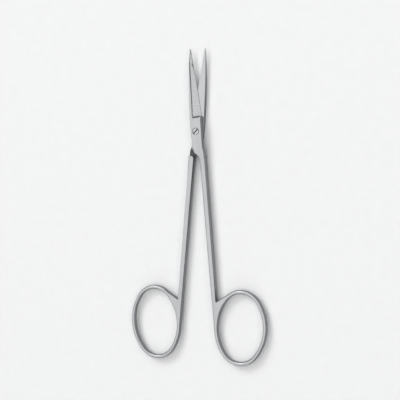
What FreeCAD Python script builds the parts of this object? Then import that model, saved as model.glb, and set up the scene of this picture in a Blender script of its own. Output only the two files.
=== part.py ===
import FreeCAD, Part
import os
import Sketcher

# Iris scissors, slightly open and lying flat, as three real pieces.
# The two halves are forged to one pattern and turned over against each other.
# One slotted pivot screw is fixed in the lower half and carries the upper half.
# The origin is on the pivot axis at the face that rests on the table.
# The tips point along +Y, and +Z is up through the screw head.
# Each half is drawn closed, with the pivot at its own origin and its ride face just above its own z = 0.
# Its blade reaches along +Y, its spine is at -X, and its ring lies at +X.

doc = FreeCAD.newDocument("iris_scissors")

# Driving dimensions in millimetres and degrees
sizes = doc.addObject("Spreadsheet::Sheet", "Sizes")
dimensions = [
    # overall lengths from the pivot
    ("blade_length", "29.8"),
    ("handle_length", "84.5"),
    ("rest_opening", "11.1"),
    # joint plate
    ("spine_side", "1.9"),
    ("edge_side", "2.2"),
    ("lap_thickness", "1.9"),
    ("ride_gap", "0.04"),
    ("side_radius", "60"),
    ("side_top", "3"),
    ("lap_corner_across", "1.4"),
    ("lap_corner_down", "7.4"),
    ("lap_angle", "45"),
    ("lap_turn", "0.75"),
    ("lap_clearance", "0.6"),
    # blade
    ("shoulder_height", "4.7"),
    ("shoulder_run", "0.8"),
    ("spine_radius", "290"),
    ("tip_width", "0.3"),
    ("tip_drop", "0.15"),
    ("tip_thickness", "0.75"),
    ("edge_land", "0.15"),
    ("ridge_at_heel", "0.95"),
    ("ridge_at_tip", "0.6"),
    ("step_depth", "0.45"),
    ("step_run", "0.25"),
    # neck and shank
    ("neck_top", "6"),
    ("neck_side", "1.95"),
    ("neck_shoulder", "1.2"),
    ("neck_middle", "10"),
    ("neck_bottom", "15"),
    ("neck_middle_thickness", "2.5"),
    ("neck_bulge", "0.2"),
    ("shank_width", "2.35"),
    ("shank_thickness", "2.3"),
    ("shank_bulge", "0.35"),
    ("shank_gap", "0.03"),
    ("shank_foot_width", "2"),
    # finger ring
    ("ring_reach", "0.2"),
    ("ring_half_length", "12.84"),
    ("ring_half_width", "9.33"),
    ("ring_end_radius", "7.58"),
    ("ring_lean", "9.5"),
    ("ring_band", "1.5"),
    ("ring_thickness", "2.2"),
    ("ring_bulge", "0.35"),
    ("web_angle", "28"),
    ("blend_inset", "0.03"),
    # pivot screw
    ("screw_radius", "0.85"),
    ("pivot_clearance", "0.04"),
    ("thread_clearance", "0.02"),
    ("head_radius", "1.2"),
    ("head_depth", "0.7"),
    ("head_clearance", "0.05"),
    ("head_float", "0.03"),
    ("head_chamfer", "0.1"),
    ("slot_width", "0.4"),
    ("slot_depth", "0.35"),
    ("slot_direction", "45"),
    ("screw_end_inset", "0.05"),
]
for row, (name, value) in enumerate(dimensions, start=1):
    sizes.set(f"A{row}", name)
    sizes.set(f"B{row}", value)
    sizes.setAlias(f"B{row}", name)
doc.recompute()


def size(name):
    return float(sizes.get(name))


# How far a cut runs on past the metal, in millimetres, and how thin a cut starts
CUT_OVERRUN = 0.5
CUT_START = 0.001
# The tip's end is an arc whose radius is this share of the tip's width
TIP_ROUNDNESS = 0.6

# Formulas that more than one feature uses
RIDE = "Sizes.ride_gap / 2"
LEAN_SIN = "sin(Sizes.ring_lean * 1deg)"
LEAN_COS = "cos(Sizes.ring_lean * 1deg)"
# The ring's centre line is an oval of four tangent arcs: this is the radius of its long sides
SIDE_ARC = (
    "((Sizes.ring_half_length^2 + Sizes.ring_half_width^2 - 2 * Sizes.ring_half_length * Sizes.ring_end_radius)"
    " / (2 * (Sizes.ring_half_width - Sizes.ring_end_radius)))"
)
SIDE_SHIFT = f"({SIDE_ARC} - Sizes.ring_half_width)"
END_SHIFT = "(Sizes.ring_half_length - Sizes.ring_end_radius)"
# where an end arc meets a side arc, across and along the oval from its centre
MEET_ACROSS = f"(Sizes.ring_end_radius * {SIDE_SHIFT} / ({SIDE_ARC} - Sizes.ring_end_radius))"
MEET_ALONG = f"({END_SHIFT} * {SIDE_ARC} / ({SIDE_ARC} - Sizes.ring_end_radius))"
RING_ACROSS = f"(Sizes.ring_band / 2 - Sizes.ring_reach + {SIDE_ARC} - {SIDE_SHIFT} * {LEAN_COS})"
RING_DOWN = f"(Sizes.handle_length - Sizes.ring_band / 2 - Sizes.ring_end_radius - {END_SHIFT} * {LEAN_COS})"
TOUCH_DOWN = f"({RING_DOWN} + {SIDE_SHIFT} * {LEAN_SIN})"
NECK_SLOPE = (
    "(Sizes.lap_thickness - Sizes.neck_middle_thickness / 2)"
    " / (Sizes.neck_middle - Sizes.neck_top)"
)
TAPER_SLOPE = (
    "(Sizes.lap_thickness - Sizes.tip_thickness)"
    " / (Sizes.blade_length - Sizes.shoulder_height)"
)


def origin_plane(body, role):
    return [plane for plane in body.Origin.OriginFeatures if plane.Role == role][0]


def new_sketch(body, name, plane, offset="0"):
    # plane is an origin plane's role, and offset moves the sketch along that plane's normal
    sketch = body.newObject("Sketcher::SketchObject", name)
    sketch.AttachmentSupport = [(origin_plane(body, plane), "")]
    sketch.MapMode = "FlatFace"
    sketch.setExpression(".AttachmentOffset.Base.z", offset)
    return sketch


def draw_outline(sketch, corners):
    # Draws a closed outline roughly, then pins each corner with two dimensions.
    # A corner is its rough place, its two formulas and, where an arc leaves it, the arc's rough middle and radius.
    first = sketch.GeometryCount
    count = len(corners)
    ends = []
    for index, corner in enumerate(corners):
        here = FreeCAD.Vector(corner[0], corner[1], 0)
        after = corners[(index + 1) % count]
        there = FreeCAD.Vector(after[0], after[1], 0)
        if len(corner) == 4:
            sketch.addGeometry(Part.LineSegment(here, there), False)
            ends.append((1, 2))
            continue
        # a sketch's arc runs counterclockwise, so one that turns the other way is drawn from its far end
        middle = FreeCAD.Vector(corner[4], corner[5], 0)
        if (middle - here).cross(there - middle).z > 0:
            sketch.addGeometry(Part.Arc(here, middle, there), False)
            ends.append((1, 2))
        else:
            sketch.addGeometry(Part.Arc(there, middle, here), False)
            ends.append((2, 1))
    for index in range(count):
        after = (index + 1) % count
        sketch.addConstraint(
            Sketcher.Constraint("Coincident", first + index, ends[index][1], first + after, ends[after][0])
        )
    for index, corner in enumerate(corners):
        place = (first + index, ends[index][0])
        for axis, rough, formula in (("X", corner[0], corner[2]), ("Y", corner[1], corner[3])):
            number = sketch.addConstraint(Sketcher.Constraint("Distance" + axis, -1, 1, *place, rough))
            sketch.setExpression(f"Constraints[{number}]", formula)
        if len(corner) > 4:
            rough_radius = sketch.Geometry[first + index].Radius
            number = sketch.addConstraint(Sketcher.Constraint("Radius", first + index, rough_radius))
            sketch.setExpression(f"Constraints[{number}]", corner[6])


def draw_path(sketch, start, end):
    # Draws an open straight path. Each end is its rough place and its two formulas.
    here = FreeCAD.Vector(start[0], start[1], 0)
    there = FreeCAD.Vector(end[0], end[1], 0)
    line = sketch.addGeometry(Part.LineSegment(here, there), False)
    for number, corner in enumerate((start, end), start=1):
        for axis, rough, formula in (("X", corner[0], corner[2]), ("Y", corner[1], corner[3])):
            index = sketch.addConstraint(Sketcher.Constraint("Distance" + axis, -1, 1, line, number, rough))
            sketch.setExpression(f"Constraints[{index}]", formula)


def draw_bar(sketch, left, width, thickness, bulge):
    # a bar's section: flat above and below, with sides that swell outwards by the bulge
    half = f"(({thickness}) / 2)"
    low_in = f"({left}) + {bulge}"
    high_in = f"({left}) + ({width}) - {bulge}"
    radius = f"({half}^2 + {bulge}^2) / (2 * {bulge})"
    draw_outline(sketch, [
        (0.3, 1.1, low_in, half),
        (1.7, 1.1, high_in, half, 2, 0, radius),
        (1.7, -1.1, high_in, f"-{half}"),
        (0.3, -1.1, low_in, f"-{half}", 0, 0, radius),
    ])


def draw_circle(sketch, radius):
    circle = sketch.addGeometry(Part.Circle(FreeCAD.Vector(0, 0, 0), FreeCAD.Vector(0, 0, 1), 1), False)
    sketch.addConstraint(Sketcher.Constraint("Coincident", circle, 3, -1, 1))
    number = sketch.addConstraint(Sketcher.Constraint("Radius", circle, 1))
    sketch.setExpression(f"Constraints[{number}]", radius)


def add_pad(body, name, profile, length):
    pad = body.newObject("PartDesign::Pad", name)
    pad.Profile = profile
    pad.setExpression("Length", length)
    return pad


def add_pocket(body, name, profile, length, towards_normal=False, both_ways=False):
    pocket = body.newObject("PartDesign::Pocket", name)
    pocket.Profile = profile
    pocket.Reversed = towards_normal
    if both_ways:
        pocket.SideType = "Symmetric"
    pocket.setExpression("Length", length)
    return pocket


def make_half(name):
    body = doc.addObject("PartDesign::Body", name)
    body.Label = name

    # Joint plate and blade: the plan outline, one lap thick.
    # The plate's lower edge slants at the lap angle, and its last corner is buried in the neck.
    plan = new_sketch(body, name + "_plan", "XY_Plane", RIDE)
    buried = "Sizes.neck_side / 2"
    draw_outline(plan, [
        (1.95, -6, "Sizes.neck_side", "-Sizes.neck_top"),
        (2.2, 4.7, "Sizes.edge_side", "Sizes.shoulder_height"),
        (0.15, 29.6, "Sizes.tip_width / 2", "Sizes.blade_length - Sizes.tip_drop",
         0, 29.67, f"{TIP_ROUNDNESS} * Sizes.tip_width"),
        (-0.15, 29.6, "-Sizes.tip_width / 2", "Sizes.blade_length - Sizes.tip_drop",
         -1.3, 16.6, "Sizes.spine_radius"),
        (-1.9, 3, "-Sizes.spine_side", "Sizes.side_top",
         -1.9, -2.2, "Sizes.side_radius"),
        (-1.4, -7.4, "-Sizes.lap_corner_across", "-Sizes.lap_corner_down"),
        (1, -9.8, buried,
         f"-(Sizes.lap_corner_down + (Sizes.lap_corner_across + {buried}) * tan(Sizes.lap_angle * 1deg))"),
    ])
    add_pad(body, name + "_plate", plan, f"Sizes.lap_thickness - {RIDE}")

    # Neck relief: the plate's outer face slopes down to the shank below the joint
    relief = new_sketch(body, name + "_neck_side", "YZ_Plane", "0")
    draw_outline(relief, [
        (-6, 1.9, "-Sizes.neck_top", "Sizes.lap_thickness"),
        (-14, 1, "-(Sizes.neck_top + 2 * Sizes.neck_middle)",
         f"Sizes.lap_thickness - 2 * Sizes.neck_middle * {NECK_SLOPE}"),
        (-14, 4, "-(Sizes.neck_top + 2 * Sizes.neck_middle)", "2 * Sizes.lap_thickness"),
        (-6, 4, "-Sizes.neck_top", "2 * Sizes.lap_thickness"),
    ])
    add_pocket(body, name + "_neck_relief", relief, "4 * Sizes.edge_side", both_ways=True)

    # Blade taper: the spine thins evenly from the shoulder to the tip
    taper = new_sketch(body, name + "_blade_side", "YZ_Plane", "0")
    draw_outline(taper, [
        (5, 1.9, "Sizes.shoulder_height", "Sizes.lap_thickness"),
        (30.3, 0.7, f"Sizes.blade_length + {CUT_OVERRUN}",
         f"Sizes.tip_thickness - {CUT_OVERRUN} * {TAPER_SLOPE}"),
        (30.3, 4, f"Sizes.blade_length + {CUT_OVERRUN}", "2 * Sizes.lap_thickness"),
        (5, 4, "Sizes.shoulder_height", "2 * Sizes.lap_thickness"),
    ])
    add_pocket(body, name + "_blade_taper", taper, "4 * Sizes.edge_side", both_ways=True)

    # Ground face: three sections from the shoulder to past the tip.
    # Each is the space that the wheel clears above the step, the ground slope and the edge land.
    beyond = "2 * Sizes.edge_side"
    above = "2 * Sizes.lap_thickness"
    heel = "(Sizes.shoulder_height + Sizes.shoulder_run)"
    heel_top = f"(Sizes.lap_thickness - Sizes.shoulder_run * {TAPER_SLOPE})"
    past = f"(Sizes.blade_length + {CUT_OVERRUN})"
    past_top = f"(Sizes.tip_thickness - {CUT_OVERRUN} * {TAPER_SLOPE})"
    heel_edge = (
        "(Sizes.edge_side - Sizes.shoulder_run * (Sizes.edge_side - Sizes.tip_width / 2)"
        " / (Sizes.blade_length - Sizes.shoulder_height))"
    )
    stations = [
        ("start", "Sizes.shoulder_height", "Sizes.lap_thickness", "Sizes.ridge_at_heel",
         f"{CUT_START}", "Sizes.edge_side", f"Sizes.lap_thickness - 2 * {CUT_START}"),
        ("heel", heel, heel_top, "Sizes.ridge_at_heel",
         "Sizes.step_depth", heel_edge, "Sizes.edge_land"),
        ("end", past, past_top, "Sizes.ridge_at_tip",
         "Sizes.step_depth * Sizes.tip_thickness / Sizes.lap_thickness", "Sizes.tip_width / 2", "Sizes.edge_land"),
    ]
    sections = []
    for station, along, top, ridge, depth, edge, land in stations:
        section = new_sketch(body, f"{name}_ground_{station}", "XZ_Plane", f"-({along})")
        draw_outline(section, [
            (-1, 1.9, f"-({ridge})", top),
            (-0.8, 1.4, f"-({ridge}) + Sizes.step_run", f"{top} - ({depth})"),
            (2, 0.2, edge, land),
            (4, 0.2, beyond, land),
            (4, 4, beyond, above),
            (-1, 4, f"-({ridge})", above),
        ])
        sections.append(section)
    ground = body.newObject("PartDesign::SubtractiveLoft", name + "_ground_face")
    ground.Profile = sections[0]
    ground.Sections = sections[1:]
    ground.Ruled = True

    # Where the crotch's slanting bar ends: on the ring's end arc, and inside the shank
    web_sin = "sin(Sizes.web_angle * 1deg)"
    web_cos = "cos(Sizes.web_angle * 1deg)"
    web_across = f"({RING_ACROSS} + {END_SHIFT} * {LEAN_SIN} - Sizes.ring_end_radius * {web_sin})"
    web_down = f"({RING_DOWN} - {END_SHIFT} * {LEAN_COS} - Sizes.ring_end_radius * {web_cos})"
    in_shank = "(Sizes.shank_foot_width / 2 - Sizes.ring_reach)"
    in_shank_down = f"({web_down} + ({web_across} - {in_shank}) * {web_sin} / {web_cos})"

    # Neck and shank: a loft of bars from the joint down into the ring.
    # The foot is level with the crotch, and the end lies just inside the ring where it comes
    # nearest to the other half.
    foot_left = (
        f"(Sizes.shank_gap + (Sizes.blend_inset - Sizes.ring_reach - Sizes.shank_gap)"
        f" * ({in_shank_down} - Sizes.neck_bottom) / ({TOUCH_DOWN} - Sizes.neck_bottom))"
    )
    bars = [
        ("neck_top", "Sizes.neck_top", "Sizes.shank_gap", "Sizes.neck_side + Sizes.neck_bulge - Sizes.shank_gap",
         "2 * Sizes.lap_thickness", "Sizes.neck_bulge"),
        ("neck_shoulder", "Sizes.neck_top + Sizes.neck_shoulder", "Sizes.shank_gap", "Sizes.shank_width",
         f"2 * (Sizes.lap_thickness - Sizes.neck_shoulder * {NECK_SLOPE})", "Sizes.neck_bulge"),
        ("neck_middle", "Sizes.neck_middle", "Sizes.shank_gap", "Sizes.shank_width",
         "Sizes.neck_middle_thickness", "(Sizes.neck_bulge + Sizes.shank_bulge) / 2"),
        ("shank_top", "Sizes.neck_bottom", "Sizes.shank_gap", "Sizes.shank_width",
         "Sizes.shank_thickness", "Sizes.shank_bulge"),
        ("shank_foot", in_shank_down, foot_left, "Sizes.shank_foot_width",
         "Sizes.ring_thickness - 2 * Sizes.blend_inset", "Sizes.ring_bulge"),
        ("shank_end", TOUCH_DOWN, "Sizes.blend_inset - Sizes.ring_reach", "Sizes.ring_band - 2 * Sizes.blend_inset",
         "Sizes.ring_thickness - 2 * Sizes.blend_inset", "Sizes.ring_bulge"),
    ]
    sections = []
    for label, down, left, width, thickness, bulge in bars:
        section = new_sketch(body, f"{name}_{label}", "XZ_Plane", down)
        draw_bar(section, left, width, thickness, bulge)
        sections.append(section)
    shank = body.newObject("PartDesign::AdditiveLoft", name + "_shank")
    shank.Profile = sections[0]
    shank.Sections = sections[1:]
    shank.Ruled = True

    # Lap recess: everything under the ride face above the slanted shoulder is cleared for the other half's plate
    recess = new_sketch(body, name + "_lap_plan", "XY_Plane", RIDE)
    lap_tan = "tan(Sizes.lap_angle * 1deg)"
    lap_line = (
        f"Sizes.lap_corner_down + Sizes.lap_corner_across * {lap_tan}"
        f" + Sizes.lap_clearance / cos(Sizes.lap_angle * 1deg)"
    )
    turn_down = f"-({lap_line} - Sizes.lap_turn * {lap_tan})"
    draw_outline(recess, [
        (-4, -13.6, "-2 * Sizes.edge_side", f"-({lap_line} + 2 * Sizes.edge_side * {lap_tan})"),
        (0.75, -8.9, "Sizes.lap_turn", turn_down),
        (4, -8.9, "2 * Sizes.edge_side", turn_down),
        (4, 4, "2 * Sizes.edge_side", "Sizes.shoulder_height"),
        (-4, 4, "-2 * Sizes.edge_side", "Sizes.shoulder_height"),
    ])
    add_pocket(body, name + "_lap_recess", recess, "2 * Sizes.lap_thickness")

    # Crotch web: a bar slants from the shank's foot until it just touches the ring's end,
    # and a flat web fills the corner between that bar, the shank and the ring
    web = new_sketch(body, name + "_web_plan", "XY_Plane", "Sizes.blend_inset - Sizes.ring_thickness / 2")
    draw_outline(web, [
        (0.8, -62.6, in_shank, f"-{in_shank_down}"),
        (0.6, -72, "Sizes.ring_band / 2 - Sizes.ring_reach", f"-{TOUCH_DOWN}",
         1.7, -65.8, SIDE_ARC),
        (5.4, -61, f"{RING_ACROSS} - {MEET_ACROSS} * {LEAN_COS} + {MEET_ALONG} * {LEAN_SIN}",
         f"-{RING_DOWN} + {MEET_ACROSS} * {LEAN_SIN} + {MEET_ALONG} * {LEAN_COS}"),
    ])
    add_pad(body, name + "_web", web, "Sizes.ring_thickness - 2 * Sizes.blend_inset")
    slant = new_sketch(body, name + "_slant_path", "XY_Plane")
    draw_path(slant, (0.8, -62.6, in_shank, f"-{in_shank_down}"), (7.3, -59.3, web_across, f"-{web_down}"))
    doc.recompute()
    slant_bar = body.newObject("Sketcher::SketchObject", name + "_slant_bar")
    slant_bar.AttachmentSupport = [(slant, "Edge1")]
    slant_bar.MapMode = "NormalToEdge"
    draw_bar(slant_bar, "Sizes.blend_inset - Sizes.ring_band / 2", "Sizes.ring_band - 2 * Sizes.blend_inset",
             "Sizes.ring_thickness - 2 * Sizes.blend_inset", "Sizes.ring_bulge")
    slant_pipe = body.newObject("PartDesign::AdditivePipe", name + "_slant")
    slant_pipe.Profile = slant_bar
    slant_pipe.Spine = (slant, [""])

    # Finger ring: a flat-faced band with swelling sides, swept round the leaning oval
    path = new_sketch(body, name + "_ring_path", "XY_Plane")
    corners = []
    for side, end, rough, bulge, radius in (
        ("", "", (16.8, -62), (11.5, -58.5), "Sizes.ring_end_radius"),
        ("-", "", (5.7, -60.5), (0.9, -70), SIDE_ARC),
        ("-", "-", (3, -80), (8.3, -83.6), "Sizes.ring_end_radius"),
        ("", "-", (14.2, -81.5), (19.3, -72.5), SIDE_ARC),
    ):
        across = f"({side}{MEET_ACROSS})"
        along = f"({end}{MEET_ALONG})"
        corners.append((
            rough[0], rough[1],
            f"{RING_ACROSS} + {across} * {LEAN_COS} + {along} * {LEAN_SIN}",
            f"-{RING_DOWN} - {across} * {LEAN_SIN} + {along} * {LEAN_COS}",
            bulge[0], bulge[1], radius,
        ))
    draw_outline(path, corners)
    doc.recompute()
    band = body.newObject("Sketcher::SketchObject", name + "_ring_band")
    band.AttachmentSupport = [(path, "Edge1")]
    band.MapMode = "NormalToEdge"
    draw_bar(band, "-Sizes.ring_band / 2", "Sizes.ring_band", "Sizes.ring_thickness", "Sizes.ring_bulge")
    ring = body.newObject("PartDesign::AdditivePipe", name + "_ring")
    ring.Profile = band
    ring.Spine = (path, [""])
    return body


def drill(body, name, offset, radius, depth, both_ways=False):
    hole = new_sketch(body, name + "_place", "XY_Plane", offset)
    draw_circle(hole, radius)
    add_pocket(body, name, hole, depth, both_ways=both_ways)


# Upper half: its plate has the running bore and the seat of the screw's head
front_half = make_half("front_half")
drill(front_half, "running_bore", "0", "Sizes.screw_radius + Sizes.pivot_clearance", "4 * Sizes.lap_thickness", True)
drill(front_half, "head_seat", "Sizes.lap_thickness",
      "Sizes.head_radius + Sizes.head_clearance", "Sizes.head_depth + Sizes.head_float")

# Lower half: the same forging turned over, with the threaded bore drawn at its thread's outer radius
back_half = make_half("back_half")
drill(back_half, "threaded_bore", "0", "Sizes.screw_radius + Sizes.thread_clearance", "4 * Sizes.lap_thickness", True)

# Pivot screw: a turned shank and head with a slot across the head, drawn where it stands
pivot_screw = doc.addObject("PartDesign::Body", "pivot_screw")
pivot_screw.Label = "pivot_screw"
turned = new_sketch(pivot_screw, "screw_profile", "XZ_Plane")
screw_top = "2 * Sizes.lap_thickness"
under_head = f"{screw_top} - Sizes.head_depth"
draw_outline(turned, [
    (0, 0, "0", "Sizes.screw_end_inset"),
    (0.8, 0, "Sizes.screw_radius", "Sizes.screw_end_inset"),
    (0.8, 3, "Sizes.screw_radius", under_head),
    (1.2, 3, "Sizes.head_radius", under_head),
    (1.2, 3.7, "Sizes.head_radius", f"{screw_top} - Sizes.head_chamfer"),
    (1.1, 3.8, "Sizes.head_radius - Sizes.head_chamfer", screw_top),
    (0, 3.8, "0", screw_top),
])
turning = pivot_screw.newObject("PartDesign::Revolution", "screw_turning")
turning.Profile = turned
turning.ReferenceAxis = (turned, ["V_Axis"])
turning.Angle = 360
slot_plan = new_sketch(pivot_screw, "slot_plan", "XY_Plane", screw_top)
slot_reach = f"Sizes.head_radius + {CUT_OVERRUN}"
draw_outline(slot_plan, [
    (-2, -0.2, f"-({slot_reach})", "-Sizes.slot_width / 2"),
    (2, -0.2, slot_reach, "-Sizes.slot_width / 2"),
    (2, 0.2, slot_reach, "Sizes.slot_width / 2"),
    (-2, 0.2, f"-({slot_reach})", "Sizes.slot_width / 2"),
])
add_pocket(pivot_screw, "slot", slot_plan, "Sizes.slot_depth")
pivot_screw.setExpression(".Placement.Rotation.Angle", "Sizes.slot_direction * 1deg")
pivot_screw.setExpression(".Placement.Rotation.Axis.z", "1")

# Places at rest: each half turns half the opening from closed, and the lower half is turned over
up = FreeCAD.Vector(0, 0, 1)
half_opening = size("rest_opening") / 2
ride_height = FreeCAD.Vector(0, 0, size("lap_thickness"))
front_half.Placement = FreeCAD.Placement(ride_height, FreeCAD.Rotation(up, half_opening))
turned_over = FreeCAD.Rotation(FreeCAD.Vector(0, 1, 0), 180)
back_half.Placement = FreeCAD.Placement(ride_height, FreeCAD.Rotation(up, -half_opening) * turned_over)
doc.recompute()

pieces = [front_half, back_half, pivot_screw]
for thing in doc.Objects:
    if "Invalid" in thing.State or "Error" in thing.State:
        raise RuntimeError(f"{thing.Name} failed: {thing.State}")
for piece in pieces:
    if piece.Shape.isNull() or not piece.Shape.isValid() or len(piece.Shape.Solids) != 1:
        raise RuntimeError(f"{piece.Label} is not one valid solid")

os.makedirs("parts", exist_ok=True)
for piece in pieces:
    piece.Shape.exportStep(f"parts/{piece.Label}.step")
    box = piece.Shape.optimalBoundingBox()
    print(f"{piece.Label}: {piece.Shape.Volume:.1f} cubic mm, {len(piece.Shape.Faces)} faces,"
          f" x {box.XMin:.2f} to {box.XMax:.2f}, y {box.YMin:.2f} to {box.YMax:.2f}, z {box.ZMin:.2f} to {box.ZMax:.2f}")
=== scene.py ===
# %% [markdown]
# Iris scissors: the frame.
# These small surgical scissors are three real pieces: two forged halves that cross at the joint,
# and the slotted screw that holds them together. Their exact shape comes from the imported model,
# so this lesson loads that model first and then adds what the eye still misses: broken edges,
# the finish of each ground or polished face, a table to lie on, soft light and a camera.
# All lengths are in metres. The pivot's axis is the Z axis, and the tips point along +Y.

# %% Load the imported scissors
import math

import bmesh
import bpy
from mathutils import Matrix, Vector


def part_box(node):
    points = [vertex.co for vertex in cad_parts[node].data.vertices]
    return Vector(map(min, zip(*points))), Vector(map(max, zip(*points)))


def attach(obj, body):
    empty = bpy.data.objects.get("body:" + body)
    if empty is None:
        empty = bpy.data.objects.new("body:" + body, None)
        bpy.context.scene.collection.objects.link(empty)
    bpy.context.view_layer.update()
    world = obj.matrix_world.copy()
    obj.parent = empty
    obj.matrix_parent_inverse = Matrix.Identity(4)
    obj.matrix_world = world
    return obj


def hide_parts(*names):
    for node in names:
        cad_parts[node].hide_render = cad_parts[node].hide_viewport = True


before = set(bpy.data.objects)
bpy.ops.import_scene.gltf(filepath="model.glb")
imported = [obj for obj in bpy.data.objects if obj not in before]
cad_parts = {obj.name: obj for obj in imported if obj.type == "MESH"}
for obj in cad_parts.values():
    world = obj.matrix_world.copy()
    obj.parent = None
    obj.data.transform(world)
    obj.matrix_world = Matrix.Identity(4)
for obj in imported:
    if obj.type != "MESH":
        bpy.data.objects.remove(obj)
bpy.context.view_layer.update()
MM = 0.001
for node in sorted(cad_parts):
    low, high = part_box(node)
    print(node, "measures", [round((b - a) / MM, 2) for a, b in zip(low, high)], "mm")

# %% [markdown]
# The camera.
# The drawing looks almost straight down on the scissors, a little from their right, with the
# tips up. A camera is a point, a view direction and a lens, so it is placed by the point that
# it looks at and the direction from there back to the lens. Its own axes are worked out from
# that direction and from +Y as up, because a camera that looks down has no natural upright.

# %% Place the camera
LOOK_AT = Vector((0.89, -24.58, 1.9)) * MM
TOWARDS_CAMERA = Vector((0.4224, 0.0359, 0.9057)).normalized()
CAMERA_DISTANCE = 334 * MM
FOCAL_LENGTH = 83.6
SENSOR_WIDTH = 36

rightward = Vector((0, 1, 0)).cross(TOWARDS_CAMERA).normalized()
upward = TOWARDS_CAMERA.cross(rightward)
camera = bpy.data.objects.new("camera", bpy.data.cameras.new("camera"))
camera.matrix_world = Matrix.Translation(LOOK_AT + TOWARDS_CAMERA * CAMERA_DISTANCE) @ (
    Matrix((rightward, upward, TOWARDS_CAMERA)).transposed().to_4x4()
)
camera.data.lens = FOCAL_LENGTH
camera.data.sensor_width = SENSOR_WIDTH
camera.data.clip_start = 10 * MM
bpy.context.scene.collection.objects.link(camera)
bpy.context.scene.camera = camera
print("camera stands at", [round(v / MM, 1) for v in camera.matrix_world.translation], "mm")

# %% [markdown]
# Each half's own directions.
# Grinding lines run along a half or straight across it, and the halves lie crossed. So the
# lesson needs to know how far each half is turned from straight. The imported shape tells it:
# the tip is the point of a half that lies furthest along +Y, and it is on the half's own axis.
# From that angle come three numbers for any point: across the half, along it, and how far it
# stands above the face on which the two halves slide.

# %% Find how each half is turned
RIDE_HEIGHT = sum(c.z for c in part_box("pivot_screw")) / 2
BODY_OF = {"front_half": "upper_half", "back_half": "lower_half"}
# the upper half lies face down, and the lower half is the same forging turned over
SIDE = {"front_half": 1, "back_half": -1}


def turn_of(node):
    corners = [v.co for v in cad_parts[node].data.vertices]
    reach = max(c.y for c in corners)
    tip = [c for c in corners if reach - c.y < 0.2 * MM]
    across = (min(c.x for c in tip) + max(c.x for c in tip)) / 2
    return math.atan2(-across, reach)


TURN = {node: turn_of(node) for node in BODY_OF}


def in_half(node, point):
    # the point's place across, along and above the half's own ride face
    flat = Matrix.Rotation(-TURN[node], 3, "Z") @ point
    return Vector((flat.x * SIDE[node], flat.y, (flat.z - RIDE_HEIGHT) * SIDE[node]))


for node in BODY_OF:
    print(node, "is turned", round(math.degrees(TURN[node]), 2), "degrees")
print("ride face at", round(RIDE_HEIGHT / MM, 3), "mm")

# %% [markdown]
# The oval of the finger ring.
# The middle line of a finger ring is an oval of four arcs, two tight ones at its ends and two
# wide ones at its sides. It leans a little on the half. Two later steps need it: the lines of
# the polishing belt follow it, and the ring's outline is made rounder along it. From the half
# width, the half length and the end radius follow the side radius and the arcs' middles.

# %% Describe the oval
RING_MIDDLE = Vector((9.976, -70.982, 0)) * MM
RING_LEAN = math.radians(9.5)
RING_HALF_WIDTH = 9.33 * MM
RING_HALF_LENGTH = 12.84 * MM
END_RADIUS = 7.58 * MM
END_SHIFT = RING_HALF_LENGTH - END_RADIUS
SIDE_RADIUS = (
    (RING_HALF_WIDTH ** 2 + END_SHIFT ** 2 - END_RADIUS ** 2) / (2 * (RING_HALF_WIDTH - END_RADIUS))
)
SIDE_SHIFT = SIDE_RADIUS - RING_HALF_WIDTH


def from_oval(place):
    # how far a place on the half lies outside the oval, and which way is outwards there
    turn = Matrix.Rotation(RING_LEAN, 3, "Z")
    arm = turn @ (place - RING_MIDDLE)
    arm.z = 0
    right = math.copysign(1, arm.x)
    above = math.copysign(1, arm.y)
    on_side = abs(arm.y) * SIDE_SHIFT < (abs(arm.x) + SIDE_SHIFT) * END_SHIFT
    middle = Vector((-right * SIDE_SHIFT, 0, 0)) if on_side else Vector((0, above * END_SHIFT, 0))
    radius = SIDE_RADIUS if on_side else END_RADIUS
    outwards = arm - middle
    return outwards.length - radius, turn.transposed() @ outwards.normalized()


print("the ring's side arcs have a radius of", round(SIDE_RADIUS / MM, 2), "mm")

# %% [markdown]
# Material helpers.
# A material is a small graph of nodes. Three short functions keep the graphs readable: one adds
# a node with its values, one starts a material with a Principled shader, and one starts a group
# with named sockets, so that an effect can be built once and used in many materials.

# %% Write the node helpers
def add_node(tree, kind, sockets=None, **settings):
    # sockets maps a socket's name or number to its value, and settings are the node's own
    node = tree.nodes.new(kind)
    for name, value in settings.items():
        setattr(node, name, value)
    for name, value in (sockets or {}).items():
        node.inputs[name].default_value = value
    return node


def new_material(name):
    material = bpy.data.materials.new(name)
    material.use_nodes = True
    tree = material.node_tree
    tree.nodes.clear()
    output = tree.nodes.new("ShaderNodeOutputMaterial")
    shader = tree.nodes.new("ShaderNodeBsdfPrincipled")
    tree.links.new(shader.outputs["BSDF"], output.inputs["Surface"])
    return material, tree, shader


def new_group(name, inputs, outputs):
    # inputs are (name, socket type, default value) and outputs are (name, socket type)
    group = bpy.data.node_groups.new(name, "ShaderNodeTree")
    for label, kind, default in inputs:
        socket = group.interface.new_socket(label, in_out="INPUT", socket_type=kind)
        if default is not None:
            socket.default_value = default
    for label, kind in outputs:
        group.interface.new_socket(label, in_out="OUTPUT", socket_type=kind)
    return group, group.nodes.new("NodeGroupInput"), group.nodes.new("NodeGroupOutput")


print("node helpers are ready")

# %% [markdown]
# The belt's path.
# A polishing belt runs along the blade and the shank, and it follows the oval round the finger
# ring. So the lines on the steel need a place that is counted across and along the belt. On the
# shank these are the half's own two directions. On the ring the group divides by the oval's half
# sizes, which makes it a circle, and then the distance from the middle runs across the belt and
# the angle runs along it. On a side wall the height takes the place of the distance across.

# %% Build the belt path group
RING_EDGE = 1.1


def join_numbers(tree, x, y, z):
    # one vector from three sockets
    joined = add_node(tree, "ShaderNodeCombineXYZ")
    for socket, value in zip(joined.inputs, (x, y, z)):
        tree.links.new(value, socket)
    return joined.outputs["Vector"]


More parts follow.
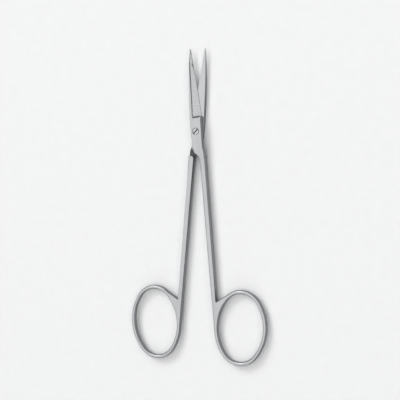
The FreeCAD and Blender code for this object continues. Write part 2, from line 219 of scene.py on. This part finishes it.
def math_node(tree, operation, first, second):
    node = add_node(tree, "ShaderNodeMath", operation=operation)
    for socket, value in zip(node.inputs, (first, second)):
        if isinstance(value, (int, float)):
            socket.default_value = value
        else:
            tree.links.new(value, socket)
    return node.outputs["Value"]


def mix_numbers(tree, share, first, second):
    mixed = add_node(tree, "ShaderNodeMix", data_type="FLOAT")
    for socket, value in zip(mixed.inputs, (share, None, first, second)):
        if value is not None:
            tree.links.new(value, socket)
    return mixed.outputs[0]


def build_belt_path():
    group, entry, leave = new_group(
        "Belt path",
        [("Place", "NodeSocketVector", None), ("Side wall", "NodeSocketFloat", 0.0)],
        [("Path", "NodeSocketVector")],
    )
    link = group.links.new
    straight = add_node(group, "ShaderNodeSeparateXYZ")
    link(entry.outputs["Place"], straight.inputs["Vector"])
    ring_size = (RING_HALF_WIDTH, RING_HALF_LENGTH, 1)
    circle = add_node(
        group, "ShaderNodeMapping",
        {"Location": RING_MIDDLE, "Rotation": (0, 0, -RING_LEAN), "Scale": ring_size},
        vector_type="TEXTURE",
    )
    link(entry.outputs["Place"], circle.inputs["Vector"])
    distance = add_node(group, "ShaderNodeVectorMath", operation="LENGTH")
    link(circle.outputs["Vector"], distance.inputs[0])
    arm = add_node(group, "ShaderNodeSeparateXYZ")
    link(circle.outputs["Vector"], arm.inputs["Vector"])
    across, down = arm.outputs["X"], arm.outputs["Y"]
    # the angle jumps where the web joins the shank, which hides the jump
    angle = math_node(
        group, "ARCTAN2", math_node(group, "ADD", across, down), math_node(group, "SUBTRACT", across, down)
    )
    on_ring = math_node(group, "LESS_THAN", distance.outputs["Value"], RING_EDGE)
    belt_across = mix_numbers(
        group, on_ring, straight.outputs["X"],
        math_node(group, "MULTIPLY", distance.outputs["Value"], RING_HALF_WIDTH),
    )
    belt_along = mix_numbers(
        group, on_ring, straight.outputs["Y"], math_node(group, "MULTIPLY", angle, RING_HALF_LENGTH)
    )
    line_across = mix_numbers(group, entry.outputs["Side wall"], belt_across, straight.outputs["Z"])
    link(join_numbers(group, line_across, belt_along, entry.outputs["Side wall"]), leave.inputs["Path"])
    return group


belt_path = build_belt_path()
print("group", belt_path.name, "has", len(belt_path.nodes), "nodes")

# %% [markdown]
# The lathe's path.
# The screw is turned, so its lines are rings round the axis of the pivot. The distance from that
# axis runs across the lines, and the angle runs along them.

# %% Build the lathe path group
def build_lathe_path():
    group, entry, leave = new_group(
        "Lathe path", [("Place", "NodeSocketVector", None)], [("Path", "NodeSocketVector")]
    )
    parts = add_node(group, "ShaderNodeSeparateXYZ")
    group.links.new(entry.outputs["Place"], parts.inputs["Vector"])
    x, y, z = parts.outputs
    angle = math_node(group, "ARCTAN2", y, x)
    x_squared = math_node(group, "MULTIPLY", x, x)
    y_squared = math_node(group, "MULTIPLY", y, y)
    radius = math_node(group, "SQRT", math_node(group, "ADD", x_squared, y_squared), 0)
    path = join_numbers(group, radius, math_node(group, "MULTIPLY", angle, MM), z)
    group.links.new(path, leave.inputs["Path"])
    return group


lathe_path = build_lathe_path()
print("group", lathe_path.name, "has", len(lathe_path.nodes), "nodes")

# %% [markdown]
# Wheel lines.
# Polished and ground steel is never blank. A wheel leaves fine parallel scratches, and between
# them the shine changes a little. The group squeezes noise across the wheel's path and stretches
# it along the path, so each blob of noise becomes a line. It puts out a height for the bump, a
# tone for the shine and a wider streak that can be seen from further off.

# %% Build the wheel line group
# each output's share of the lines' fineness, and the detail of its noise
WHEEL_OUTPUTS = (("Height", 1.0, 2), ("Tone", 0.4, 3), ("Streak", 0.12, 2))


def build_wheel_lines():
    group, entry, leave = new_group(
        "Wheel lines",
        [("Path", "NodeSocketVector", None), ("Lines per metre", "NodeSocketVector", (1, 1, 1))],
        [("Height", "NodeSocketFloat"), ("Tone", "NodeSocketFloat"), ("Streak", "NodeSocketFloat")],
    )
    link = group.links.new
    squeeze = add_node(group, "ShaderNodeVectorMath", operation="MULTIPLY")
    link(entry.outputs["Path"], squeeze.inputs[0])
    link(entry.outputs["Lines per metre"], squeeze.inputs[1])
    for output, share, detail in WHEEL_OUTPUTS:
        coarser = add_node(group, "ShaderNodeVectorMath", {"Scale": share}, operation="SCALE")
        noise = add_node(group, "ShaderNodeTexNoise", {"Scale": 1, "Detail": detail, "Roughness": 0.6})
        link(squeeze.outputs["Vector"], coarser.inputs[0])
        link(coarser.outputs["Vector"], noise.inputs["Vector"])
        link(noise.outputs["Fac"], leave.inputs[output])
    return group


wheel_lines = build_wheel_lines()
print("group", wheel_lines.name, "has", len(wheel_lines.nodes), "nodes")

# %% [markdown]
# Wiping haze.
# Even a clean instrument carries a faint haze where it has been wiped and held. Soft noise makes
# patches a few millimetres wide that are a touch duller. The steels share this group too.

# %% Build the wiping haze group
HAZE_STARTS = 0.42
HAZE_FULL = 0.72


def build_wiping_haze():
    group, entry, leave = new_group(
        "Wiping haze",
        [("Place", "NodeSocketVector", None), ("Patches per metre", "NodeSocketFloat", 160.0)],
        [("Mask", "NodeSocketFloat")],
    )
    link = group.links.new
    patches = add_node(group, "ShaderNodeTexNoise", {"Detail": 4, "Roughness": 0.55})
    link(entry.outputs["Place"], patches.inputs["Vector"])
    link(entry.outputs["Patches per metre"], patches.inputs["Scale"])
    soft = add_node(
        group, "ShaderNodeMapRange", {"From Min": HAZE_STARTS, "From Max": HAZE_FULL},
        interpolation_type="SMOOTHSTEP",
    )
    link(patches.outputs["Fac"], soft.inputs["Value"])
    link(soft.outputs["Result"], leave.inputs["Mask"])
    return group


wiping_haze = build_wiping_haze()
print("group", wiping_haze.name, "has", len(wiping_haze.nodes), "nodes")

# %% [markdown]
# Recess shade and residue.
# Behind the joint each half has a deep step, and no wheel reaches into its corner. The dark patch
# there is painted shade for that recess, and partly stands for polishing compound and scale left
# in it. It fades out towards the joint, with an uneven border. The group turns the place along the half into
# that mask.

# %% Build the recess shade and residue group
RECESS_SHADE_STARTS = -4.6 * MM
RECESS_SHADE_FULL = -6.4 * MM
RECESS_SHADE_RAGGED = 1.2 * MM
RECESS_SHADE_FINENESS = 1400


def build_recess_shade_and_residue():
    group, entry, leave = new_group(
        "Recess shade and residue", [("Place", "NodeSocketVector", None)], [("Mask", "NodeSocketFloat")]
    )
    link = group.links.new
    parts = add_node(group, "ShaderNodeSeparateXYZ")
    link(entry.outputs["Place"], parts.inputs["Vector"])
    ragged = add_node(group, "ShaderNodeTexNoise", {"Scale": RECESS_SHADE_FINENESS, "Detail": 3})
    link(entry.outputs["Place"], ragged.inputs["Vector"])
    moved = add_node(group, "ShaderNodeMath", {1: RECESS_SHADE_RAGGED}, operation="MULTIPLY_ADD")
    link(ragged.outputs["Fac"], moved.inputs[0])
    link(parts.outputs["Y"], moved.inputs[2])
    fade = add_node(
        group, "ShaderNodeMapRange", {"From Min": RECESS_SHADE_STARTS, "From Max": RECESS_SHADE_FULL},
        interpolation_type="SMOOTHSTEP",
    )
    link(moved.outputs["Value"], fade.inputs["Value"])
    link(fade.outputs["Result"], leave.inputs["Mask"])
    return group


recess_shade_and_residue = build_recess_shade_and_residue()
print("group", recess_shade_and_residue.name, "has", len(recess_shade_and_residue.nodes), "nodes")

# %% [markdown]
# The steels.
# All three pieces are stainless steel, and only the finish differs: satin on the outside, side
# walls in a darker copy of the steel as painted shade, lines straight across the blade where a
# wheel ground its sloping face, a finer lapped finish where the halves slide on each other, darkened
# in the recess behind the joint as painted shade, a bright honed edge, turned rings on
# the screw and a slot darkened as painted shade.
# One function makes them all, so they stay the same metal. A number that never changes over the
# surface, such as Metallic, sits on the shader itself.

# %% Write the steel recipe
PLACE = "place_on_half"
SIDE_WALL = "side_wall"
STEEL_COLOUR = (0.48, 0.486, 0.495, 1)
STREAK_COLOUR = (0.39, 0.395, 0.405, 1)
# a darker copy of the steel, painted shade for the side walls
WALL_SHADE_COLOUR = (0.27, 0.275, 0.285, 1)
WALL_SHADE_STREAK = (0.21, 0.215, 0.225, 1)
# painted shade for the slot and for the recess behind the joint
DARK_COLOUR = (0.09, 0.09, 0.094, 1)
DARK_ROUGHNESS = 0.5
# the noise of the tone stays mostly between these two
TONE_LOW = 0.3
TONE_HIGH = 0.7


def blend_colours(tree, share, first, second):
    mixed = add_node(tree, "ShaderNodeMix", {7: second}, data_type="RGBA")
    tree.links.new(share, mixed.inputs["Factor"])
    if isinstance(first, tuple):
        mixed.inputs[6].default_value = first
    else:
        tree.links.new(first, mixed.inputs[6])
    return mixed.outputs[2]


def make_steel(
    name, lines, roughness, spread, depth, colours=(STEEL_COLOUR, STREAK_COLOUR), turned=False, recess_shade=False
):
    # lines are the lines per metre across and along the path, and in depth
    material, tree, shader = new_material(name)
    link = tree.links.new
    if turned:
        place = add_node(tree, "ShaderNodeTexCoord").outputs["Object"]
        path = add_node(tree, "ShaderNodeGroup", node_tree=lathe_path)
    else:
        place = add_node(tree, "ShaderNodeAttribute", attribute_name=PLACE).outputs["Vector"]
        path = add_node(tree, "ShaderNodeGroup", node_tree=belt_path)
        side = add_node(tree, "ShaderNodeAttribute", attribute_name=SIDE_WALL)
        link(side.outputs["Fac"], path.inputs["Side wall"])
    link(place, path.inputs["Place"])
    wheel = add_node(tree, "ShaderNodeGroup", node_tree=wheel_lines)
    wheel.inputs["Lines per metre"].default_value = lines
    link(path.outputs["Path"], wheel.inputs["Path"])
    haze = add_node(tree, "ShaderNodeGroup", node_tree=wiping_haze)
    link(place, haze.inputs["Place"])

    colour = blend_colours(tree, wheel.outputs["Streak"], *colours)
    shine = add_node(
        tree, "ShaderNodeMapRange",
        {
            "From Min": TONE_LOW, "From Max": TONE_HIGH,
            "To Min": roughness - spread, "To Max": roughness + spread,
        },
    )
    link(wheel.outputs["Tone"], shine.inputs["Value"])
    dulled = add_node(tree, "ShaderNodeMath", {1: spread}, operation="MULTIPLY_ADD")
    link(haze.outputs["Mask"], dulled.inputs[0])
    link(shine.outputs["Result"], dulled.inputs[2])
    rough = dulled.outputs["Value"]
    # the recess behind the joint is darkened: painted shade, partly standing for polishing residue
    if recess_shade:
        recess_mask = add_node(tree, "ShaderNodeGroup", node_tree=recess_shade_and_residue)
        link(place, recess_mask.inputs["Place"])
        colour = blend_colours(tree, recess_mask.outputs["Mask"], colour, DARK_COLOUR)
        dark_rough = add_node(tree, "ShaderNodeMix", {3: DARK_ROUGHNESS}, data_type="FLOAT")
        link(recess_mask.outputs["Mask"], dark_rough.inputs["Factor"])
        link(rough, dark_rough.inputs[2])
        rough = dark_rough.outputs[0]
    link(colour, shader.inputs["Base Color"])
    link(rough, shader.inputs["Roughness"])

    bump = add_node(tree, "ShaderNodeBump", {"Strength": 1, "Distance": depth})
    link(wheel.outputs["Height"], bump.inputs["Height"])
    link(bump.outputs["Normal"], shader.inputs["Normal"])
    shader.inputs["Metallic"].default_value = 1
    return material


print("brightest steel colour:", STEEL_COLOUR[:3], "and darkest:", DARK_COLOUR[:3])

# %% Make the steels
FINE = 14000
LONG = 350
satin_steel = make_steel("satin_steel", (FINE, LONG, LONG), 0.30, 0.07, 1.5e-6)
# the side walls' steel is darker as painted shade
tumbled_steel = make_steel(
    "tumbled_steel", (FINE, LONG, LONG), 0.34, 0.08, 1.5e-6, (WALL_SHADE_COLOUR, WALL_SHADE_STREAK)
)
ground_steel = make_steel("ground_steel", (LONG, FINE, LONG), 0.24, 0.07, 2.0e-6)
# the lapped face carries the painted shade of the recess behind the joint
lapped_steel = make_steel("lapped_steel", (FINE, LONG, LONG), 0.18, 0.05, 0.8e-6, recess_shade=True)
honed_steel = make_steel("honed_steel", (LONG, LONG, LONG), 0.10, 0.03, 0.2e-6)
turned_steel = make_steel("turned_steel", (FINE, LONG, FINE), 0.20, 0.06, 1.0e-6, turned=True)
# the slot's steel is painted dark as painted shade
slot_shade_steel = make_steel(
    "slot_shade_steel", (FINE, FINE, FINE), 0.45, 0.10, 3.0e-6, (DARK_COLOUR, DARK_COLOUR), turned=True
)
print("steels:", [m.name for m in bpy.data.materials if m.name.endswith("_steel")])

# %% [markdown]
# Clean copies.
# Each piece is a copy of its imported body. Doubled points are merged and flat faces are joined into
# one face each, because the later steps need whole faces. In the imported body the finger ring
# stands a hair above the web and the shank. On the real forging polishing levels that step, so
# the ring's flats move down to the web's. They keep their height near the ring's top end, where
# the web only just touches the ring and a levelled step would leave faces too thin to round.

# %% Write the clean copy
MERGE_DISTANCE = 0.003 * MM
FLAT_ANGLE = math.radians(0.5)
RING_LEVEL = RIDE_HEIGHT - 0.025 * MM
RING_FLAT = 1.1 * MM
WEB_FLAT = 1.07 * MM
LEVELLED_BELOW = -60.5 * MM


def level_the_ring(shape):
    lowered = [
        vertex for vertex in shape.verts
        if vertex.co.y < LEVELLED_BELOW and abs(abs(vertex.co.z - RING_LEVEL) - RING_FLAT) < MERGE_DISTANCE
    ]
    for vertex in lowered:
        vertex.co.z = RING_LEVEL + math.copysign(WEB_FLAT, vertex.co.z - RING_LEVEL)
    print(len(lowered), "points of the ring levelled with the web")


def clean_copy(node):
    shape = bmesh.new()
    shape.from_mesh(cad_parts[node].data)
    level_the_ring(shape)
    bmesh.ops.remove_doubles(shape, verts=shape.verts, dist=MERGE_DISTANCE)
    bmesh.ops.dissolve_limit(
        shape, angle_limit=FLAT_ANGLE, use_dissolve_boundaries=False, verts=shape.verts, edges=shape.edges
    )
    return shape


print("the ring's flats come down by", round((RING_FLAT - WEB_FLAT) / MM, 3), "mm")

# %% [markdown]
# Rounder rings.
# A real finger ring is a smooth oval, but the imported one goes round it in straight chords. So each
# chord is cut in three, and the new points move out to the arc on which the chord's ends lie.
# Every point first stores its distance from the oval, and the cut shares that number out evenly,
# so a new point knows how far from the oval it belongs.

# %% Write the ring rounding
RING_ZONE = 1.2 * MM
SAME_LINE = 0.02 * MM
LONG_CHORD = 0.3 * MM
CUTS_PER_CHORD = 2


def round_the_ring(shape, node):
    kept = shape.verts.layers.float.new("distance from oval")
    for vertex in shape.verts:
        vertex[kept] = from_oval(in_half(node, vertex.co))[0]
    chords = []
    for edge in shape.edges:
        a, b = edge.verts
        same_arc = abs(a[kept] - b[kept]) < SAME_LINE and abs(a.co.z - b.co.z) < SAME_LINE
        near = abs(a[kept]) < RING_ZONE and abs(b[kept]) < RING_ZONE
        if same_arc and near and edge.calc_length() > LONG_CHORD:
            chords.append(edge)
    before = set(shape.verts)
    bmesh.ops.subdivide_edges(shape, edges=chords, cuts=CUTS_PER_CHORD, use_grid_fill=True)
    added = [vertex for vertex in shape.verts if vertex not in before]
    for vertex in added:
        distance, outwards = from_oval(in_half(node, vertex.co))
        outwards.x *= SIDE[node]
        vertex.co += Matrix.Rotation(TURN[node], 3, "Z") @ outwards * (vertex[kept] - distance)
    print(node, "has", len(chords), "chords cut and", len(added), "points moved to the arcs")


print("chords longer than", round(LONG_CHORD / MM, 2), "mm are cut")

# %% [markdown]
# Breaking the edges.
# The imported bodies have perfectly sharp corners, but a polisher breaks every corner a little, and
# those thin rounded edges catch the light and draw the object's outline. The bevel operator rounds
# them. The handles, which the fingers touch, are rounded most, then the long outer edges of the
# joint plate and the blade, and the rest least. An edge beside a face that is too narrow for the
# rounding is left alone, and so is the cutting edge, which has to stay sharp.

# %% Write the edge breaker
SHARP_ANGLE = math.radians(28)
NARROWEST = 1.6


def width_beside(edge):
    # how far the narrower of the edge's two faces reaches away from it
    start = edge.verts[0].co
    direction = (edge.verts[1].co - start).normalized()
    reaches = []
    for face in edge.link_faces:
        arms = [v.co - start for v in face.verts]
        reaches.append(max((arm - direction * arm.dot(direction)).length for arm in arms))
    return min(reaches)


def break_edges(shape, width, segments, wanted, narrowest=NARROWEST):
    # wanted says of an edge whether this pass rounds it
    corners = [
        edge for edge in shape.edges
        if edge.calc_face_angle() > SHARP_ANGLE and wanted(edge) and width_beside(edge) > narrowest * width
    ]
    bmesh.ops.bevel(
        shape, geom=corners, offset=width, offset_type="OFFSET", affect="EDGES", segments=segments,
        profile=0.5, material=-1, clamp_overlap=False,
    )
    print(len(corners), "edges broken by", round(width / MM, 3), "mm, and now", len(shape.faces), "faces")


print("edges sharper than", round(math.degrees(SHARP_ANGLE)), "degrees are broken")

# %% [markdown]
# The two halves.
# Four zones of a half differ from its satin outside. The ground face looks up and towards the
# cutting side. The lapped face looks down at the other half, and the wall of the step behind the
# joint belongs to it; its steel darkens behind the joint as painted shade. The honed land is the
# narrow strip at the cutting edge. The side walls get a darker copy of the steel as painted shade.
# A face's zone follows from its place and direction in the half's own frame, so the
# same rules dress both halves.
# The same loop stores each point's place on the half, which the belt path group reads.

# %% Write the zones of a half
EDGE_BREAK = 0.06 * MM
OUTER_BREAK = 0.12 * MM
OUTER_START = -5.9 * MM
OUTER_END = 24 * MM
OUTER_HEIGHT = 1.7 * MM
HANDLE_BREAK = 0.16 * MM
HANDLE_NARROWEST = 1.15
HANDLE_START = -9.1 * MM
BLADE_START = 4.6 * MM
HALF_WIDTH = 2.2 * MM
HALF_REACH = 29.8 * MM
LAND_HEIGHT = 0.2 * MM
LAND_REACH = 0.2 * MM


def cutting_side(place):
    # how far the cutting edge lies across the half at this place along it
    share = (place.y - BLADE_START) / (HALF_REACH - BLADE_START)
    return HALF_WIDTH * (1 - share)


def on_cutting_edge(node, edge):
    places = [in_half(node, v.co) for v in edge.verts]
    return all(
        p.y > BLADE_START and p.z < LAND_HEIGHT and p.x > cutting_side(p) - LAND_REACH for p in places
    )


WALL_LEAN = 0.6
STEP_WALL_FROM = -10 * MM
STEP_WALL_TO = -8.2 * MM
# how far a face's direction must lean to belong to a zone
LAPPED_DOWN = -0.9
STEP_ALONG = 0.6
LAND_ACROSS = 0.8
GROUND_UP = 0.3
GROUND_ACROSS = 0.05
# and where it may lie
LAPPED_HEIGHT = 0.1 * MM
GROUND_FROM = -1 * MM


def zone_of(node, face):
    place = in_half(node, face.calc_center_median())
    looks = in_half(node, face.normal + Vector((0, 0, RIDE_HEIGHT)))
    on_blade = place.y > BLADE_START
    if looks.z < LAPPED_DOWN and abs(place.z) < LAPPED_HEIGHT:
        return "lapped"
    # the step wall behind the joint takes the lapped steel and its painted shade
    if STEP_WALL_FROM < place.y < STEP_WALL_TO and looks.y > STEP_ALONG:
        return "lapped"
    if on_blade and place.z < LAND_HEIGHT and looks.x > LAND_ACROSS:
        return "honed"
    if on_blade and looks.z > GROUND_UP and looks.x > GROUND_ACROSS and place.x > GROUND_FROM:
        return "ground"
    # side walls get the darker steel as painted shade
    if abs(looks.z) < WALL_LEAN:
        return "wall_shade"
    return "satin"


print("the blade's zones start", round(BLADE_START / MM, 2), "mm from the pivot")

# %% Dress the halves
ZONES = {
    "satin": satin_steel, "wall_shade": tumbled_steel, "ground": ground_steel,
    "lapped": lapped_steel, "honed": honed_steel,
}


def finish_piece(shape, name, node, body, materials):
    mesh = bpy.data.meshes.new(name)
    shape.to_mesh(mesh)
    shape.free()
    for material in materials:
        mesh.materials.append(material)
    mesh.shade_smooth()
    piece = bpy.data.objects.new(name, mesh)
    bpy.context.scene.collection.objects.link(piece)
    even = piece.modifiers.new("even_normals", "WEIGHTED_NORMAL")
    even.keep_sharp = False
    even.weight = 75
    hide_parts(node)
    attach(piece, body)
    return piece


def store_places(mesh, node):
    # every point keeps its place on the half, and every face knows whether it is a side wall
    places = mesh.attributes.new(PLACE, "FLOAT_VECTOR", "POINT")
    for vertex, stored in zip(mesh.vertices, places.data):
        stored.vector = in_half(node, vertex.co)
    walls = mesh.attributes.new(SIDE_WALL, "FLOAT", "FACE")
    for face, stored in zip(mesh.polygons, walls.data):
        stored.value = float(abs(face.normal.z) < WALL_LEAN)


def on_handle(node, edge):
    return max(in_half(node, v.co).y for v in edge.verts) < HANDLE_START


def on_outer_edge(node, edge):
    # the long edges of the plate's and the blade's outer face
    places = [in_half(node, v.co) for v in edge.verts]
    return all(OUTER_START < p.y < OUTER_END and p.z > OUTER_HEIGHT for p in places) and edge.is_convex


for node, body in BODY_OF.items():
    shape = clean_copy(node)
    round_the_ring(shape, node)
    break_edges(shape, HANDLE_BREAK, 3, lambda edge: on_handle(node, edge), HANDLE_NARROWEST)
    break_edges(shape, OUTER_BREAK, 2, lambda edge: on_outer_edge(node, edge))
    break_edges(
        shape, EDGE_BREAK, 2,
        lambda edge: not (on_handle(node, edge) or on_outer_edge(node, edge) or on_cutting_edge(node, edge)),
    )
    counts = dict.fromkeys(ZONES, 0)
    for face in shape.faces:
        zone = zone_of(node, face)
        face.material_index = list(ZONES).index(zone)
        counts[zone] += 1
    half = finish_piece(shape, node + "_steel", node, body, list(ZONES.values()))
    store_places(half.data, node)
    print(half.name, "has faces by finish:", counts)

# %% [markdown]
# The pivot screw.
# The screw is turned on a lathe, and its small edges get a finer break than the halves. The slot's
# floor and walls are painted dark as painted shade.

# %% Dress the screw
SCREW_BREAK = 0.03 * MM
SLOT_DEPTH = 0.35 * MM
SLOT_HALF_WIDTH = 0.2 * MM
ACROSS_SLOT = Vector((-1, 1, 0)).normalized()
# a slot face's middle may lie this share of the slot's half width and depth away
WIDTH_SHARE = 1.02
DEPTH_SHARES = (0.1, 1.05)


def in_slot(face):
    middle = face.calc_center_median()
    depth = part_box("pivot_screw")[1].z - middle.z
    shallow, deep = (SLOT_DEPTH * share for share in DEPTH_SHARES)
    return abs(middle.dot(ACROSS_SLOT)) < SLOT_HALF_WIDTH * WIDTH_SHARE and shallow < depth < deep


shape = clean_copy("pivot_screw")
break_edges(shape, SCREW_BREAK, 2, lambda edge: True)
for face in shape.faces:
    # slot faces take the dark steel that paints their shade
    face.material_index = 1 if in_slot(face) else 0
screw = finish_piece(
    shape, "pivot_screw_steel", "pivot_screw", "lower_half", [turned_steel, slot_shade_steel]
)
print("faces of the slot:", sum(p.material_index for p in screw.data.polygons))

# %% [markdown]
# The table.
# The scissors lie on a plain white table that is only there to carry their shadow, so it is one
# large square with a very faint mottle. It isn't part of the object.

# %% Lay the table
TABLE_HALF_WIDTH = 1.5
# a hair under the scissors, so the two flat faces never share a plane
TABLE_LEVEL = -0.02 * MM
TABLE_TINT = (0.86, 0.90)


def lay_table():
    shape = bmesh.new()
    level = Matrix.Translation((0, 0, TABLE_LEVEL))
    bmesh.ops.create_grid(shape, x_segments=1, y_segments=1, size=TABLE_HALF_WIDTH, matrix=level)
    mesh = bpy.data.meshes.new("table")
    shape.to_mesh(mesh)
    shape.free()
    material, tree, shader = new_material("table_white")
    place = add_node(tree, "ShaderNodeTexCoord")
    mottle = add_node(tree, "ShaderNodeTexNoise", {"Scale": 300, "Detail": 3})
    tint = add_node(tree, "ShaderNodeMapRange", {"To Min": TABLE_TINT[0], "To Max": TABLE_TINT[1]})
    tree.links.new(place.outputs["Object"], mottle.inputs["Vector"])
    tree.links.new(mottle.outputs["Fac"], tint.inputs["Value"])
    tree.links.new(tint.outputs["Result"], shader.inputs["Base Color"])
    shader.inputs["Roughness"].default_value = 0.8
    shader.inputs["Specular IOR Level"].default_value = 0.2
    mesh.materials.append(material)
    table = bpy.data.objects.new("table", mesh)
    bpy.context.scene.collection.objects.link(table)
    return table


table = lay_table()
print("table is", table.dimensions.x, "m wide")

# %% [markdown]
# The light.
# Steel shows what stands round it more than its own colour, so the lamps are chosen for their
# mirror pictures. Two soft panels hang side by side overhead: one is what the flat upper faces
# show the camera, and the other is what the ground faces show, so both read light. The main lamp
# stands at the upper left, and the right-hand walls mirror the narrow shadow that it leaves beside
# them, so they go dark. Two fills stand beyond the tips and beyond the rings. The room itself is
# light at the level of the table and dark in a band above it, and the rounded edges mirror that
# band as a thin soft outline.

# %% Hang the lamps
def hang_lamp(name, direction, distance, size, radiance):
    # size is across and along, and a radiance of 1 looks like a white wall in full light
    lamp = bpy.data.objects.new(name, bpy.data.lights.new(name, "AREA"))
    lamp.data.shape = "RECTANGLE"
    lamp.data.size, lamp.data.size_y = size
    lamp.data.energy = radiance * math.pi * size[0] * size[1]
    away = Vector(direction).normalized()
    sideways = Vector((0, 1, 0)).cross(away).normalized()
    turned = Matrix((sideways, away.cross(sideways), away)).transposed().to_4x4()
    lamp.matrix_world = Matrix.Translation(LOOK_AT + away * distance) @ turned
    bpy.context.scene.collection.objects.link(lamp)
    return lamp


# each lamp's direction, distance, size and radiance
LAMPS = {
    "flat_face_panel": ((-0.358, -0.04, 0.933), 1.2, (0.945, 1.4), 1.25),
    "ground_face_panel": ((0.454, 0.08, 0.891), 1.2, (1.22, 1.4), 1.2),
    "main_lamp": ((-0.45, 0.60, 0.66), 3.0, (1.2, 1.2), 7),
    "far_fill": ((0.0, 0.80, 0.60), 2.0, (1.2, 1.0), 1.4),
    "near_fill": ((0.0, -0.80, 0.60), 2.0, (1.2, 1.0), 1.4),
}
for name, values in LAMPS.items():
    hang_lamp(name, *values)
print("lamps:", list(LAMPS))

# %% Light the room
# brightness of the room from the level of the table up to the point overhead
ROOM_TONES = ((0.0, 0.60), (0.15, 0.45), (0.34, 0.06), (0.75, 0.06), (1.0, 0.20))
# red and green are a touch weaker than blue, like daylight from a cloudy sky
ROOM_RED = 0.94
ROOM_GREEN = 0.97


def light_room():
    world = bpy.data.worlds.new("room")
    bpy.context.scene.world = world
    world.use_nodes = True
    tree = world.node_tree
    look = add_node(tree, "ShaderNodeTexCoord")
    parts = add_node(tree, "ShaderNodeSeparateXYZ")
    tree.links.new(look.outputs["Generated"], parts.inputs["Vector"])
    ramp = add_node(tree, "ShaderNodeValToRGB")
    stops = ramp.color_ramp.elements
    while len(stops) < len(ROOM_TONES):
        stops.new(0.5)
    for stop, (height, tone) in zip(stops, ROOM_TONES):
        stop.position = height
        stop.color = (ROOM_RED * tone, ROOM_GREEN * tone, tone, 1)
    tree.links.new(parts.outputs["Z"], ramp.inputs["Fac"])
    tree.links.new(ramp.outputs["Color"], tree.nodes["Background"].inputs["Color"])
    return world


light_room()
bpy.context.scene.view_settings.view_transform = "Standard"
print("room tones from the table up:", [tone for _, tone in ROOM_TONES])
